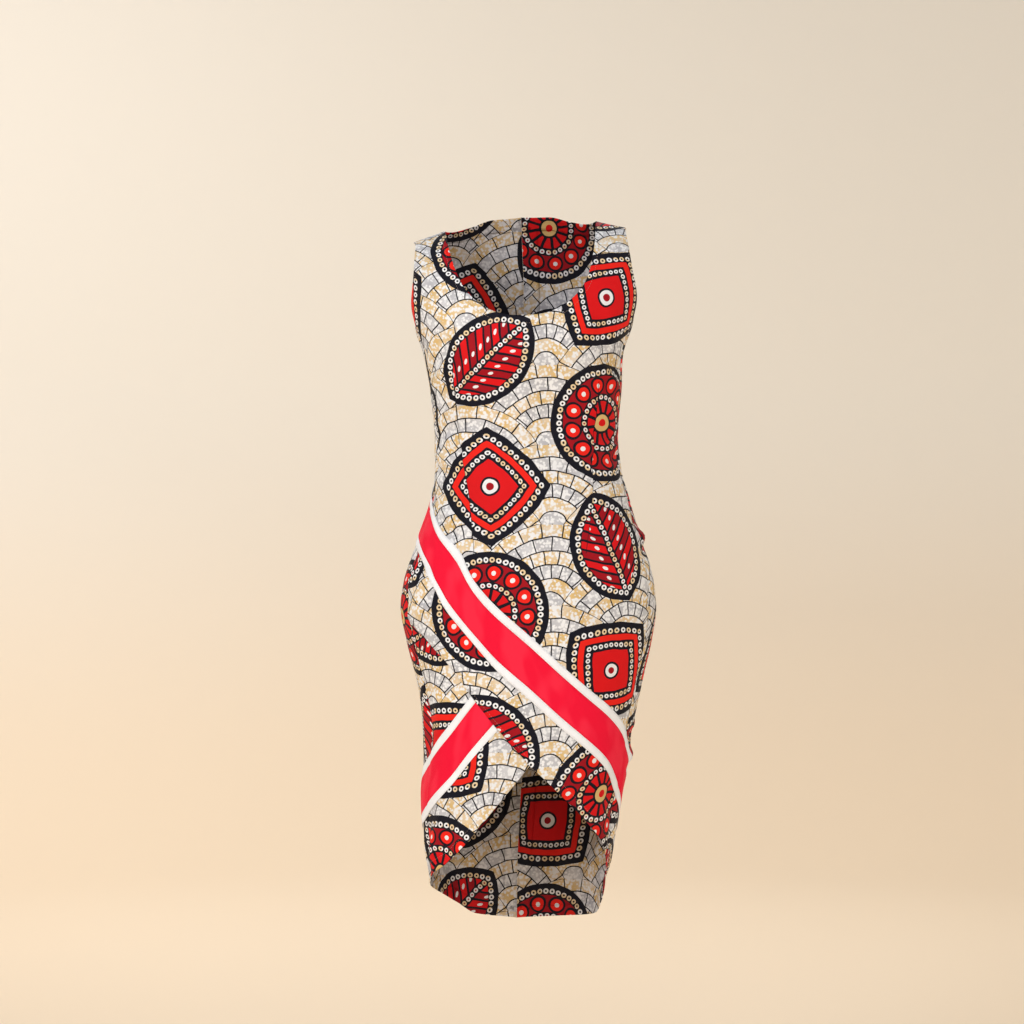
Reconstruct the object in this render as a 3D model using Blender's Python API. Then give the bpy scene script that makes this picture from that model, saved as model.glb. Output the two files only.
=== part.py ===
"""A fitted sleeveless dress with a scoop neck and a crossed, tulip-shaped skirt front.

Each piece of cloth is drawn flat, cut into the cells of one sheet, given its thickness and
wrapped round one worn form. On the flat sheet the side seams are at plus and minus
FLAT_WIDTH, the centre back is at twice that, and heights are below the shoulders. Pieces
that lie on each other share the sheet's cells, so their walls stay parallel.
Metres, +Z up, the front faces -Y, and the origin is midway between the two shoulders.
"""

import math
from collections import namedtuple
from functools import lru_cache

import bmesh
import bpy
from mathutils import Vector

# Cloth and seams
CLOTH = 0.0012
SEAM_GAP = 0.0004
SHOULDER_CUT = -0.0012

# The flat sheet and its cells
FLAT_WIDTH = 0.20
FRONT_CELLS = 8
BACK_CELLS = 11
ROW = 0.025
SHEET_LENGTH = 1.025
ON_LINE = 0.0008
SNAP = 0.0045
EDGE_STEP = 8.0
NECK_STEPS = 16
ARMHOLE_STEPS = 9
HALVINGS = 40
BAND_TRIES = 8
CREASE = math.radians(50)

# The over-panel is lifted where it laps the under-panel
LAP_GAP = 0.0006
LAP_RISE = 0.035
LAP_LIFTED = 0.050
LAP_SETTLED = 0.130
LIFT_STARTS = (-78.0, -72.0)
LIFT_FADES = (12.0, 40.0)
UNDER_PANEL_ENDS = 5.0

# Bands: their cloth, the gap under them, and the share of their width that is white
BAND_CLOTH = 0.0010
BAND_GAP = 0.0006
WHITE_SHARE = 0.17
BAND_END_GAP = 0.0009

# The form above the bust
BUST = -0.175
SHOULDER_BACK = 0.010
CHEST_CURVE = 1.35
BACK_CURVE = 1.05
CHEST_FILL = 0.022
SHOULDER_ROLL = 0.070
ROLL_ENDS = -0.42
SQUARENESS = 0.035

# Neckline and armholes, in degrees round the form and metres down it
NECK_REACH = 39.5
FRONT_NECK_DEPTH = 0.1512
FRONT_NECK_POWER = 2.8
BACK_NECK_DEPTH = 0.057
BACK_NECK_POWER = 2.2
ARM_CENTRE = 89.5
ARM_REACH = 26.0
ARM_DEPTH = 0.165
ARM_POWER = 1.9

Ring = namedtuple("Ring", "height half_width front_depth back_depth sideways")
RINGS = (
    Ring(0.000, 0.1650, 0.122, 0.100, 0.0000),
    Ring(-0.050, 0.1620, 0.122, 0.100, 0.0015),
    Ring(-0.090, 0.1620, 0.122, 0.100, 0.0035),
    Ring(-0.120, 0.1640, 0.122, 0.100, 0.0055),
    Ring(-0.145, 0.1570, 0.122, 0.100, 0.0060),
    Ring(-0.175, 0.1410, 0.122, 0.100, 0.0055),
    Ring(-0.225, 0.1355, 0.109, 0.095, 0.0085),
    Ring(-0.290, 0.1300, 0.096, 0.084, 0.0090),
    Ring(-0.335, 0.1318, 0.098, 0.087, 0.0115),
    Ring(-0.380, 0.1405, 0.103, 0.097, 0.0150),
    Ring(-0.440, 0.1600, 0.109, 0.112, 0.0140),
    Ring(-0.497, 0.1775, 0.112, 0.125, 0.0125),
    Ring(-0.530, 0.1815, 0.113, 0.128, 0.0120),
    Ring(-0.580, 0.1740, 0.113, 0.124, 0.0130),
    Ring(-0.640, 0.1595, 0.112, 0.114, 0.0138),
    Ring(-0.700, 0.1490, 0.111, 0.106, 0.0118),
    Ring(-0.760, 0.1440, 0.110, 0.103, 0.0075),
    Ring(-0.800, 0.1415, 0.109, 0.102, 0.0020),
    Ring(-0.850, 0.1360, 0.108, 0.101, -0.0006),
    Ring(-0.920, 0.1250, 0.106, 0.099, -0.0036),
    Ring(-1.025, 0.1180, 0.104, 0.097, -0.0045),
)

# The ridge over the shoulders, from the neck outwards
Ridge = namedtuple("Ridge", "out height")
RIDGE = (
    Ridge(0.000, 0.060),
    Ridge(0.040, 0.054),
    Ridge(0.073, 0.034),
    Ridge(0.105, 0.013),
    Ridge(0.130, 0.005),
    Ridge(0.152, -0.001),
    Ridge(0.170, -0.007),
)

# The side seams, in degrees from the front
Seam = namedtuple("Seam", "height angle")
SIDE_SEAM = (
    Seam(-0.160, 77.0),
    Seam(-0.350, 77.0),
    Seam(-0.450, 72.0),
    Seam(-0.550, 66.0),
    Seam(-1.025, 66.0),
)

# The free edge of the over-panel, and the hems each side of the point where it ends
Edge = namedtuple("Edge", "angle height")
APEX = 1.7
LAP = (
    Edge(-90.0, -0.502),
    Edge(-66.0, -0.546),
    Edge(-43.5, -0.599),
    Edge(-28.5, -0.658),
    Edge(-18.4, -0.692),
    Edge(APEX, -0.748),
    Edge(20.0, -0.800),
)
LEFT_HEM = (
    Edge(-180.0, -0.993),
    Edge(-151.0, -0.985),
    Edge(-137.0, -0.967),
    Edge(-120.0, -0.949),
    Edge(-97.0, -0.932),
    Edge(-70.0, -0.910),
    Edge(-50.0, -0.890),
    Edge(-36.0, -0.866),
    Edge(-14.0, -0.805),
    Edge(APEX, -0.748),
    Edge(8.0, -0.726),
)
RIGHT_HEM = (
    Edge(APEX, -0.748),
    Edge(24.0, -0.795),
    Edge(45.0, -0.839),
    Edge(58.0, -0.863),
    Edge(70.0, -0.888),
    Edge(85.0, -0.925),
    Edge(100.0, -0.952),
    Edge(114.0, -0.976),
    Edge(149.0, -0.988),
    Edge(180.0, -0.993),
)

# The bands' outer edges, round from the centre back on the left
Band = namedtuple("Band", "angle upper lower")
LONG_BAND = (
    Band(-180.0, -0.300, -0.361),
    Band(-150.0, -0.312, -0.373),
    Band(-120.0, -0.334, -0.396),
    Band(-90.0, -0.366, -0.438),
    Band(-70.0, -0.390, -0.452),
    Band(-50.0, -0.424, -0.488),
    Band(-35.0, -0.452, -0.543),
    Band(-25.0, -0.492, -0.582),
    Band(-15.0, -0.525, -0.619),
    Band(0.0, -0.568, -0.657),
    Band(15.0, -0.609, -0.692),
    Band(30.0, -0.643, -0.722),
    Band(45.0, -0.670, -0.750),
    Band(60.0, -0.697, -0.783),
    Band(75.0, -0.735, -0.818),
    Band(90.0, -0.768, -0.843),
    Band(120.0, -0.811, -0.878),
    Band(150.0, -0.833, -0.897),
    Band(180.0, -0.842, -0.905),
)
SHORT_BAND = (
    Band(-180.0, -0.842, -0.905),
    Band(-150.0, -0.828, -0.893),
    Band(-120.0, -0.803, -0.873),
    Band(-90.0, -0.768, -0.846),
    Band(-75.0, -0.750, -0.836),
    Band(-60.0, -0.727, -0.815),
    Band(-45.0, -0.694, -0.785),
    Band(-30.0, -0.652, -0.739),
    Band(-10.0, -0.590, -0.680),
)

PRINT_RED = (0.55, 0.03, 0.04)
BAND_RED = (0.78, 0.01, 0.05)
WHITE = (0.85, 0.83, 0.80)


def main():
    for old in list(bpy.data.objects):
        bpy.data.objects.remove(old, do_unlink=True)
    dress = bpy.data.collections.new("wax_print_dress")
    bpy.context.scene.collection.children.link(dress)

    cotton = cloth_material("printed_cotton", PRINT_RED)
    crimson = cloth_material("crimson_band", BAND_RED)
    white = cloth_material("white_edging", WHITE)

    add_piece(dress, "front_over_panel", front_over_panel(), cotton, 0.0, CLOTH, lapped=True)
    add_piece(dress, "front_under_panel", front_under_panel(), cotton, 0.0, CLOTH)
    add_piece(dress, "back_left", back_panel(-1), cotton, 0.0, CLOTH)
    add_piece(dress, "back_right", back_panel(1), cotton, 0.0, CLOTH)

    on_cloth = CLOTH + BAND_GAP
    for name, table in (("long_band", LONG_BAND), ("short_band", SHORT_BAND)):
        lapped = table is LONG_BAND
        for part, start, end, material in (
            ("_upper_edge", 0.0, WHITE_SHARE, white),
            ("", WHITE_SHARE, 1 - WHITE_SHARE, crimson),
            ("_lower_edge", 1 - WHITE_SHARE, 1.0, white),
        ):
            outline = band_strip(table, start, end)
            add_piece(dress, name + part, outline, material, on_cloth, BAND_CLOTH, lapped)


def cloth_material(name, colour):
    material = bpy.data.materials.new(name)
    material.use_nodes = True
    shader = material.node_tree.nodes["Principled BSDF"]
    shader.inputs["Base Color"].default_value = (*colour, 1.0)
    shader.inputs["Roughness"].default_value = 0.7
    shader.inputs["Metallic"].default_value = 0.0
    return material


# Reading the tables
def read(rows, column, at):
    """A smooth reading of one column of a table, which never overshoots its rows."""
    if rows[0][0] > rows[-1][0]:
        rows = rows[::-1]
    keys = [row[0] for row in rows]
    values = [getattr(row, column) for row in rows]
    at = min(max(at, keys[0]), keys[-1])
    place = next(i for i in range(len(keys) - 1) if at <= keys[i + 1])
    step = keys[place + 1] - keys[place]
    here = (at - keys[place]) / step

    def slope(i):
        return (values[i + 1] - values[i]) / (keys[i + 1] - keys[i])

    def tangent(i):
        if i in (0, len(keys) - 1):
            return slope(min(i, len(keys) - 2))
        before, after = slope(i - 1), slope(i)
        return 0.0 if before * after <= 0 else 2 * before * after / (before + after)

    return (
        values[place] * (1 + 2 * here) * (1 - here) ** 2
        + tangent(place) * step * here * (1 - here) ** 2
        + values[place + 1] * here**2 * (3 - 2 * here)
        + tangent(place + 1) * step * here**2 * (here - 1)
    )


def seam_angle(height):
    return read(SIDE_SEAM, "angle", height)


def angle_at(across, height):
    """The angle round the form of a point of the flat sheet."""
    quarter = abs(across) / FLAT_WIDTH
    seam = seam_angle(height)
    turned = seam * quarter if quarter <= 1 else seam + (180 - seam) * (quarter - 1)
    return math.copysign(turned, across)


def flat(angle, height):
    """The point of the flat sheet at an angle round the form and a height."""
    seam = seam_angle(height)
    turned = abs(angle)
    quarter = turned / seam if turned <= seam else 1 + (turned - seam) / (180 - seam)
    return (math.copysign(quarter * FLAT_WIDTH, angle), height)


# The worn form
def form(angle, height):
    """A point of the form, at an angle in degrees and a height measured up the cloth."""
    turn = math.radians(angle)
    half_width = read(RINGS, "half_width", height)
    square = 1 + SQUARENESS * math.sin(2 * turn) ** 2
    across = math.sin(turn) * square
    along = math.cos(turn) * square
    x = read(RINGS, "sideways", height) + half_width * across
    side = "front_depth" if along > 0 else "back_depth"
    if height <= BUST:
        y = -read(RINGS, side, height) * along
        z = height
    else:
        climb = (1 - height / BUST) * math.pi / 2
        ring_y = -read(RINGS, side, BUST) * along
        curve = CHEST_CURVE if along > 0 else BACK_CURVE
        fill = CHEST_FILL * abs(across) ** 3 * math.sin(2 * climb) ** 2
        reach = max(0.0, math.cos(climb)) ** curve
        y = SHOULDER_BACK + (ring_y - SHOULDER_BACK) * reach - math.copysign(fill, along)
        top = read(RIDGE, "height", abs(half_width * across))
        z = BUST + (top - BUST) * math.sin(climb)
    fade = max(0.0, 1 - height / ROLL_ENDS)
    return Vector((x, y, z + SHOULDER_ROLL * x * fade**2))


def fall(value, start, end):
    """One up to start, nothing past end, and a soft step between them."""
    share = min(max((value - start) / (end - start), 0.0), 1.0)
    return 1 - share * share * (3 - 2 * share)


def lap_lift(angle, height):
    """How far the over-panel stands off the form where it laps the under-panel."""
    above = height - read(LAP, "height", angle)
    near = fall(above, LAP_LIFTED, LAP_SETTLED)
    across = fall(angle, *LIFT_FADES) * (1 - fall(angle, *LIFT_STARTS))
    return (CLOTH + LAP_GAP) * near * across


def sheet_columns():
    front = [FLAT_WIDTH * i / FRONT_CELLS for i in range(-FRONT_CELLS, FRONT_CELLS + 1)]
    back = [FLAT_WIDTH * (1 + i / BACK_CELLS) for i in range(1, BACK_CELLS + 1)]
    return [-x for x in reversed(back)] + front + back


def sheet_rows():
    """The heights of the sheet's rows, with one more where the shoulder turns sharply."""
    rows = [-ROW * i for i in range(round(SHEET_LENGTH / ROW) + 1)]
    return sorted(rows + [-ROW / 2])


COLUMNS = sheet_columns()
ROWS = sheet_rows()


@lru_cache(maxsize=None)
def corner(column, row):
    """The form's point, outward direction and lap lift at one corner of the sheet's cells."""
    across, height = COLUMNS[column], ROWS[row]
    step = 0.001
    low, high = height - step, min(height + step, 0.0)
    left, right = across - step, across + step
    along = form(angle_at(right, height), height) - form(angle_at(left, height), height)
    up = form(angle_at(across, high), high) - form(angle_at(across, low), low)
    angle = angle_at(across, height)
    return form(angle, height), along.cross(up).normalized(), lap_lift(angle, height)


def cell(lines, value):
    """The cell that holds a value, and how far across the cell it is."""
    last = len(lines) - 2
    place = max(i for i in range(last + 1) if i == 0 or lines[i] <= value)
    return place, (value - lines[place]) / (lines[place + 1] - lines[place])


def wrap(across, height, out, lapped):
    """The place on the worn form of a point of the flat sheet, moved out by a distance."""
    column, share_x = cell(COLUMNS, across)
    row, share_y = cell(ROWS, height)
    place = Vector()
    for i, weight_x in ((0, 1 - share_x), (1, share_x)):
        for j, weight_y in ((0, 1 - share_y), (1, share_y)):
            point, outward, lift = corner(column + i, row + j)
            place += weight_x * weight_y * (point + outward * (out + lift * lapped))
    return place


# Outlines, as angles and heights, anticlockwise as seen from outside
def between(start, end, steps):
    return [start + (end - start) * i / steps for i in range(steps + 1)]


def scoop(centre, reach, depth, power, turns):
    """Points of a rounded cut, hung from the shoulders, at some turns in degrees."""
    points = []
    for turn in turns:
        across = math.cos(math.radians(turn))
        down = max(0.0, math.sin(math.radians(turn)))
        out = math.copysign(abs(across) ** (2 / power), across)
        points.append((centre + reach * out, min(-depth * down ** (2 / power), SHOULDER_CUT)))
    return points


def armhole(side, start, end, steps):
    points = scoop(ARM_CENTRE, ARM_REACH, ARM_DEPTH, ARM_POWER, between(start, end, steps))
    return [(side * angle, height) for angle, height in points]


def arm_split():
    """The turn round the armhole at which the side seam meets it."""
    share = (ARM_CENTRE - SIDE_SEAM[0].angle) / ARM_REACH
    return 180 - math.degrees(math.acos(share ** (ARM_POWER / 2)))


def seam_line(side, top, bottom):
    """The side seam between two heights, or the centre back where side is 2 or -2."""
    steps = max(2, round((top - bottom) / ROW))
    if abs(side) == 2:
        return [(90.0 * side, height) for height in between(top, bottom, steps)]
    return [(side * seam_angle(height), height) for height in between(top, bottom, steps)]


def edge_line(rows, start, end, rise=0.0):
    steps = max(2, round(abs(end - start) / EDGE_STEP))
    return [(angle, read(rows, "height", angle) + rise) for angle in between(start, end, steps)]


def front_over_panel():
    split = arm_split()
    right_end = SIDE_SEAM[-1].angle
    underarm = armhole(1, split, 180, ARMHOLE_STEPS)[0][1]
    right_hem = read(RIGHT_HEM, "height", right_end)
    lap_start = read(LAP, "height", -right_end)
    turns = between(0, 180, NECK_STEPS)
    neck = scoop(0, NECK_REACH, FRONT_NECK_DEPTH, FRONT_NECK_POWER, turns)
    return (
        edge_line(RIGHT_HEM, APEX, right_end)
        + seam_line(1, underarm, right_hem)[-2:0:-1]
        + armhole(1, split, 180, ARMHOLE_STEPS)
        + neck
        + armhole(-1, 180, split, ARMHOLE_STEPS)
        + seam_line(-1, underarm, lap_start)[1:]
        + edge_line(LAP, -right_end, APEX)[1:-1]
    )


def front_under_panel():
    seam = SIDE_SEAM[-1].angle
    top = read(LAP, "height", -seam) + LAP_RISE
    bottom = read(LEFT_HEM, "height", -seam)
    return (
        edge_line(LEFT_HEM, -seam, UNDER_PANEL_ENDS)
        + edge_line(LAP, UNDER_PANEL_ENDS, -seam, LAP_RISE)[:-1]
        + seam_line(-1, top, bottom)[:-1]
    )


def back_panel(side):
    """One half of the back, from the side seam to the centre back."""
    hem = RIGHT_HEM if side > 0 else LEFT_HEM
    seam = SIDE_SEAM[-1].angle
    split = arm_split()
    underarm = armhole(1, split, 0, ARMHOLE_STEPS)[0][1]
    turns = between(180, 90, NECK_STEPS // 2)
    neck = scoop(180, NECK_REACH, BACK_NECK_DEPTH, BACK_NECK_POWER, turns)
    outline = (
        edge_line(hem, side * seam, side * 180)
        + seam_line(2 * side, -BACK_NECK_DEPTH, read(hem, "height", side * 180))[-2:0:-1]
        + [(side * angle, height) for angle, height in reversed(neck)]
        + armhole(side, 0, split, ARMHOLE_STEPS)
        + seam_line(side, underarm, read(hem, "height", side * seam))[1:-1]
    )
    return outline if side > 0 else outline[::-1]


def lap_meeting(table, share):
    """The angle at which a line along a band meets the over-panel's free edge."""
    low, high = table[0].angle, table[-1].angle
    for _ in range(HALVINGS):
        middle = (low + high) / 2
        line = band_height(table, share, middle)
        if line < read(LAP, "height", middle) - BAND_END_GAP:
            low = middle
        else:
            high = middle
    return low


def band_height(table, share, angle):
    upper = read(table, "upper", angle)
    return upper + share * (read(table, "lower", angle) - upper)


def band_point(table, share, across):
    """The point of a line along a band that is at one place across the sheet."""
    height = band_height(table, share, 0.0)
    for _ in range(BAND_TRIES):
        height = band_height(table, share, angle_at(across, height))
    return angle_at(across, height), height


def band_strip(table, start, end):
    """A strip of a band between two shares of its width, with a seam's gap beside it."""
    strip = []
    for share, side in ((end, 1), (start, -1)):
        columns = COLUMNS
        if table is SHORT_BAND:
            meeting = lap_meeting(table, share)
            last = flat(meeting, band_height(table, share, meeting))[0]
            columns = [column for column in COLUMNS if column < last - SNAP] + [last]
        inner = 0.0 if share in (0.0, 1.0) else side * SEAM_GAP / 2
        points = [band_point(table, share, column) for column in columns]
        strip += [(angle, height + inner) for angle, height in points][::side]
    return strip


# From an outline to a solid
def inner_lines(lines, values):
    """The sheet's lines that pass well inside a piece."""
    return [line for line in lines if min(values) + SNAP < line < max(values) - SNAP]


def snapped(value, lines):
    near = min(lines, key=lambda line: abs(line - value), default=value)
    return near if abs(near - value) < SNAP / 2 else value


def flat_outline(outline, snap):
    points = [flat(angle, height) for angle, height in outline]
    columns = inner_lines(COLUMNS, [x for x, _ in points])
    rows = inner_lines(ROWS, [y for _, y in points])
    in_front = columns[0] >= -FLAT_WIDTH - SNAP and columns[-1] <= FLAT_WIDTH + SNAP
    limit = (1 if in_front else 2) * FLAT_WIDTH - SEAM_GAP / 2
    placed = []
    for x, y in points:
        if snap and not in_front and abs(abs(x) - FLAT_WIDTH) < SEAM_GAP:
            x = math.copysign(FLAT_WIDTH + SEAM_GAP / 2, x)
        x = min(max(x, -limit), limit)
        if snap:
            x, y = snapped(x, columns), snapped(y, rows)
        if not placed or math.dist(placed[-1], (x, y)) > ON_LINE:
            placed.append((x, y))
    if math.dist(placed[0], placed[-1]) <= ON_LINE:
        placed.pop()
    return placed, columns, rows


def add_piece(collection, name, outline, material, out, thickness, lapped=False):
    """Cuts a flat outline into the sheet's cells, thickens it and wraps it."""
    points, columns, rows = flat_outline(outline, snap=thickness == CLOTH)
    sheet = bmesh.new()
    sheet.faces.new([sheet.verts.new((x, y, 0.0)) for x, y in points])
    for lines, normal in ((columns, (1, 0, 0)), (rows, (0, 1, 0))):
        for line in lines:
            bmesh.ops.bisect_plane(
                sheet,
                geom=sheet.verts[:] + sheet.edges[:] + sheet.faces[:],
                dist=ON_LINE / 4,
                plane_co=Vector(normal) * line,
                plane_no=normal,
            )
    bmesh.ops.recalc_face_normals(sheet, faces=sheet.faces)
    bmesh.ops.triangulate(sheet, faces=sheet.faces)
    base = sheet.faces[:]
    raised = bmesh.ops.extrude_face_region(sheet, geom=base, use_keep_orig=True)["geom"]
    top = [item for item in raised if isinstance(item, bmesh.types.BMVert)]
    bmesh.ops.translate(sheet, verts=top, vec=(0, 0, thickness))
    bmesh.ops.recalc_face_normals(sheet, faces=sheet.faces)
    for vert in sheet.verts:
        across, height, depth = vert.co
        vert.co = wrap(across, height, out + depth, lapped)

    mesh = bpy.data.meshes.new(name)
    sheet.to_mesh(mesh)
    sheet.free()
    mesh.materials.append(material)
    mesh.shade_smooth()
    mesh.set_sharp_from_angle(angle=CREASE)
    piece = bpy.data.objects.new(name, mesh)
    collection.objects.link(piece)


main()
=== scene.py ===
# The dress's cloth, wax print, bands and stitching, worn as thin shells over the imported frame.
import math

import bmesh
import bpy
import numpy as np
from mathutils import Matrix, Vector


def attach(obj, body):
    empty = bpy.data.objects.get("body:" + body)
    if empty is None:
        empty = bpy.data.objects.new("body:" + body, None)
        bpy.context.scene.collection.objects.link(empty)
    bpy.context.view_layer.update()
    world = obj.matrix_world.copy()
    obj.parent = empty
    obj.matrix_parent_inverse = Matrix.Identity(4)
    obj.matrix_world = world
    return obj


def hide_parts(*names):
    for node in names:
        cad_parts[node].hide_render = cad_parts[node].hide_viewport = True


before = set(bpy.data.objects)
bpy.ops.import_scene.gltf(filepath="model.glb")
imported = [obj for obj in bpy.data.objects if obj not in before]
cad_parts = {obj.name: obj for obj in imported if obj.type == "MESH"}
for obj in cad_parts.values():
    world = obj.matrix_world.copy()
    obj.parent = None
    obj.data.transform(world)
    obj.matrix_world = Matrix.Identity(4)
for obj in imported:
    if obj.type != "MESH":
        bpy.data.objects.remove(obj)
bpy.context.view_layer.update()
scene = bpy.context.scene
print("frame loaded")


# The worn form, in the solids' own sizes
def table(columns, *rows):  # a short table, read by the names of its columns
    return dict(zip(columns.split(), np.array(sorted(rows), float).T))


worn = {
    "bust": -0.175, "shoulderBack": 0.010, "chestCurve": 1.35, "backCurve": 1.05,
    "chestFill": 0.022, "shoulderRoll": 0.070, "rollEnds": -0.42, "squareness": 0.035,
    "wall": 0.0012,  # of the solids, which the cloth lies in
}
rings = table(
    "height halfWidth frontDepth backDepth sideways",
    (0.000, 0.1650, 0.122, 0.100, 0.0000),
    (-0.050, 0.1620, 0.122, 0.100, 0.0015),
    (-0.090, 0.1620, 0.122, 0.100, 0.0035),
    (-0.120, 0.1640, 0.122, 0.100, 0.0055),
    (-0.145, 0.1570, 0.122, 0.100, 0.0060),
    (-0.175, 0.1410, 0.122, 0.100, 0.0055),
    (-0.225, 0.1355, 0.109, 0.095, 0.0085),
    (-0.290, 0.1300, 0.096, 0.084, 0.0090),
    (-0.335, 0.1318, 0.098, 0.087, 0.0115),
    (-0.380, 0.1405, 0.103, 0.097, 0.0150),
    (-0.440, 0.1600, 0.109, 0.112, 0.0140),
    (-0.497, 0.1775, 0.112, 0.125, 0.0125),
    (-0.530, 0.1815, 0.113, 0.128, 0.0120),
    (-0.580, 0.1740, 0.113, 0.124, 0.0130),
    (-0.640, 0.1595, 0.112, 0.114, 0.0138),
    (-0.700, 0.1490, 0.111, 0.106, 0.0118),
    (-0.760, 0.1440, 0.110, 0.103, 0.0075),
    (-0.800, 0.1415, 0.109, 0.102, 0.0020),
    (-0.850, 0.1360, 0.108, 0.101, -0.0006),
    (-0.920, 0.1250, 0.106, 0.099, -0.0036),
    (-1.025, 0.1180, 0.104, 0.097, -0.0045),
)
shoulderRidge = table(
    "out height",
    (0.000, 0.060),
    (0.040, 0.054),
    (0.073, 0.034),
    (0.105, 0.013),
    (0.130, 0.005),
    (0.152, -0.001),
    (0.170, -0.007),
)
sideSeam = table(
    "height angle",
    (-0.160, 77.0),
    (-0.350, 77.0),
    (-0.450, 72.0),
    (-0.550, 66.0),
    (-1.025, 66.0),
)
lapEdge = table(
    "angle height",
    (-90.0, -0.502),
    (-66.0, -0.546),
    (-43.5, -0.599),
    (-28.5, -0.658),
    (-18.4, -0.692),
    (1.7, -0.748),
    (20.0, -0.800),
)
leftHem = table(
    "angle height",
    (-180.0, -0.993),
    (-151.0, -0.985),
    (-137.0, -0.967),
    (-120.0, -0.949),
    (-97.0, -0.932),
    (-70.0, -0.910),
    (-50.0, -0.890),
    (-36.0, -0.866),
    (-14.0, -0.805),
    (1.7, -0.748),
    (8.0, -0.726),
)
rightHem = table(
    "angle height",
    (1.7, -0.748),
    (24.0, -0.795),
    (45.0, -0.839),
    (58.0, -0.863),
    (70.0, -0.888),
    (85.0, -0.925),
    (100.0, -0.952),
    (114.0, -0.976),
    (149.0, -0.988),
    (180.0, -0.993),
)


def read(rows, column, at):  # smooth between rows, and never past them
    keys, values = next(iter(rows.values())), rows[column]
    slopes = np.diff(values) / np.diff(keys)
    both = slopes[:-1] * slopes[1:]
    total = slopes[:-1] + slopes[1:]
    middle = np.where(both > 0, 2 * both / np.where(total == 0, 1, total), 0)
    tangents = np.concatenate([slopes[:1], middle, slopes[-1:]])
    at = np.clip(at, keys[0], keys[-1])
    place = np.clip(np.searchsorted(keys, at) - 1, 0, len(keys) - 2)
    step = keys[place + 1] - keys[place]
    here = (at - keys[place]) / step
    return (
        values[place] * (1 + 2 * here) * (1 - here) ** 2
        + tangents[place] * step * here * (1 - here) ** 2
        + values[place + 1] * here**2 * (3 - 2 * here)
        + tangents[place + 1] * step * here**2 * (here - 1)
    )


def wornForm(angle, height):
    turn = np.radians(angle)
    square = 1 + worn["squareness"] * np.sin(2 * turn) ** 2
    across, along = np.sin(turn) * square, np.cos(turn) * square
    halfWidth = read(rings, "halfWidth", height)
    x = read(rings, "sideways", height) + halfWidth * across
    low = np.minimum(height, worn["bust"])
    front = along > 0
    ringY = -along * np.where(front, read(rings, "frontDepth", low), read(rings, "backDepth", low))
    climb = np.clip(1 - height / worn["bust"], 0, 1) * math.pi / 2
    curve = np.where(front, worn["chestCurve"], worn["backCurve"])
    fill = worn["chestFill"] * np.abs(across) ** 3 * np.sin(2 * climb) ** 2
    reach = np.maximum(np.cos(climb), 0) ** curve
    y = worn["shoulderBack"] + (ringY - worn["shoulderBack"]) * reach - np.copysign(fill, along)
    top = read(shoulderRidge, "height", np.abs(halfWidth * across))
    z = low + (top - worn["bust"]) * np.sin(climb)
    fade = np.maximum(0, 1 - height / worn["rollEnds"])
    return np.stack([x, y, z + worn["shoulderRoll"] * x * fade**2], axis=-1)


# The flat sheet: side seams at plus and minus its width, the centre back at twice that
sheet = {
    "width": 0.20,
    "cell": 0.0045,  # of the finished mesh
    "tooClose": 0.0004,  # for two points of an outline
    "seamGap": 0.0001,
    "shoulderCut": -0.0003,
    "lapGap": 0.0006,
    "lapRise": 0.035,
    "lapLifted": 0.050,
    "lapSettled": 0.130,
    "liftStarts": (-78.0, -72.0),  # degrees, round from the left
    "liftFades": (12.0, 40.0),
    "underPanelEnds": 5.0,
}


def angleAt(across, height):
    quarter, seam = np.abs(across) / sheet["width"], read(sideSeam, "angle", height)
    turned = np.where(quarter <= 1, seam * quarter, seam + (180 - seam) * (quarter - 1))
    return np.copysign(turned, across)


def acrossAt(angle, height):
    turned, seam = np.abs(angle), read(sideSeam, "angle", height)
    quarter = np.where(turned <= seam, turned / seam, 1 + (turned - seam) / (180 - seam))
    return np.copysign(quarter * sheet["width"], angle)


def fall(value, start, end):  # one, then a soft step down to nothing
    share = np.clip((value - start) / (end - start), 0, 1)
    return 1 - share * share * (3 - 2 * share)


def lapLift(angle, height):
    above = height - read(lapEdge, "height", angle)
    near = fall(above, sheet["lapLifted"], sheet["lapSettled"])
    sides = fall(angle, *sheet["liftFades"]) * (1 - fall(angle, *sheet["liftStarts"]))
    return (worn["wall"] + sheet["lapGap"]) * near * sides


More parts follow.
